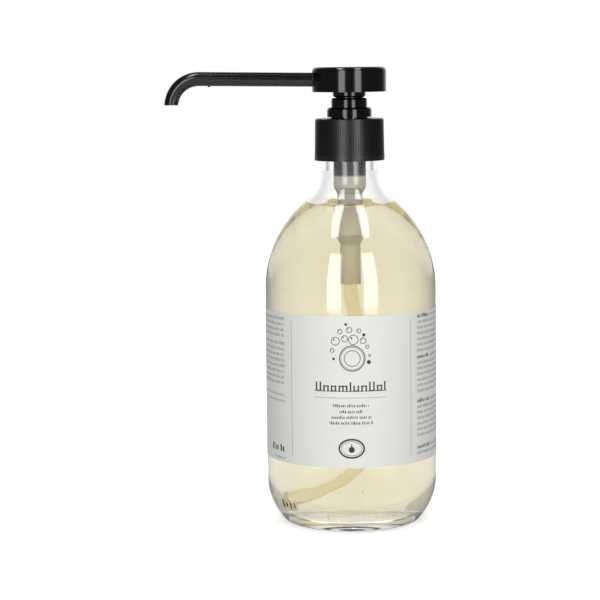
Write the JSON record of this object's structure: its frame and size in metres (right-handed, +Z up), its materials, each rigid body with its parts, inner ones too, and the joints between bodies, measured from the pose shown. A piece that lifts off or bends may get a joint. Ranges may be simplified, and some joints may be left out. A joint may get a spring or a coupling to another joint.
{
  "type": "dish soap bottle",
  "caption": "Round clear-glass bottle of pale yellow liquid soap with a wrap-round paper label and a black screw-on lotion pump with a long down-turned spout, locked down.",
  "frame": {"origin": "centre of the bottle's base, in the plane of the ring that it stands on", "axes": "+Z up along the bottle's axis, -X along the spout, -Y out of the front of the label"},
  "size_m": [0.1203, 0.0762, 0.2031],
  "materials": {
    "glass_bottle": "clear blown glass with a polished surface",
    "liquid_soap": "clear pale yellow liquid",
    "paper_label": "off-white coated paper with grey print",
    "screw_cap": "black polypropylene with fine ribs",
    "gasket": "white foam",
    "pump_housing": "translucent natural polypropylene",
    "dip_tube": "translucent natural polyethylene",
    "inlet_ball": "polished stainless steel",
    "lock_collar": "glossy black polypropylene",
    "spring": "drawn stainless steel wire",
    "piston_seal": "natural polyethylene",
    "piston_rod": "translucent natural polypropylene",
    "stem": "glossy black polypropylene",
    "outlet_ball": "polished stainless steel",
    "pump_head": "glossy black polypropylene",
    "spout_tube": "satin black polypropylene"
  },
  "bodies": {
    "bottle": {"glass_bottle": "glass_bottle", "liquid_soap": "liquid_soap", "paper_label": "paper_label"},
    "pump_base": {"pump_housing": "pump_housing", "gasket": "gasket", "dip_tube": "dip_tube", "inlet_ball": "inlet_ball", "lock_collar": "lock_collar"},
    "cap": {"screw_cap": "screw_cap"},
    "piston": {"piston_seal": "piston_seal", "spring": "spring"},
    "head": {"pump_head": "pump_head", "spout_tube": "spout_tube", "stem": "stem", "piston_rod": "piston_rod", "outlet_ball": "outlet_ball"}
  },
  "joints": [
    {"name": "pump_lift", "type": "slide", "parent": "bottle", "child": "pump_base", "axis": [0, 0, 1], "range_m": [0, 0.00635], "deforming": ["liquid_soap"]},
    {"name": "cap_turn", "type": "hinge", "parent": "pump_base", "child": "cap", "pos_m": [0, 0, 0.171], "axis": [0, 0, 1], "range_deg": [0, 540]},
    {"name": "pump_stroke", "type": "slide", "parent": "pump_base", "child": "piston", "axis": [0, 0, 1], "range_m": [0, 0.012], "deforming": ["spring"]},
    {"name": "head_turn", "type": "hinge", "parent": "piston", "child": "head", "pos_m": [0, 0, 0.197], "axis": [0, 0, 1], "continuous": true}
  ],
  "couplings": [
    {"joint": "cap_turn", "follows": "pump_lift", "rad_per_m": 1484.3}
  ]
}
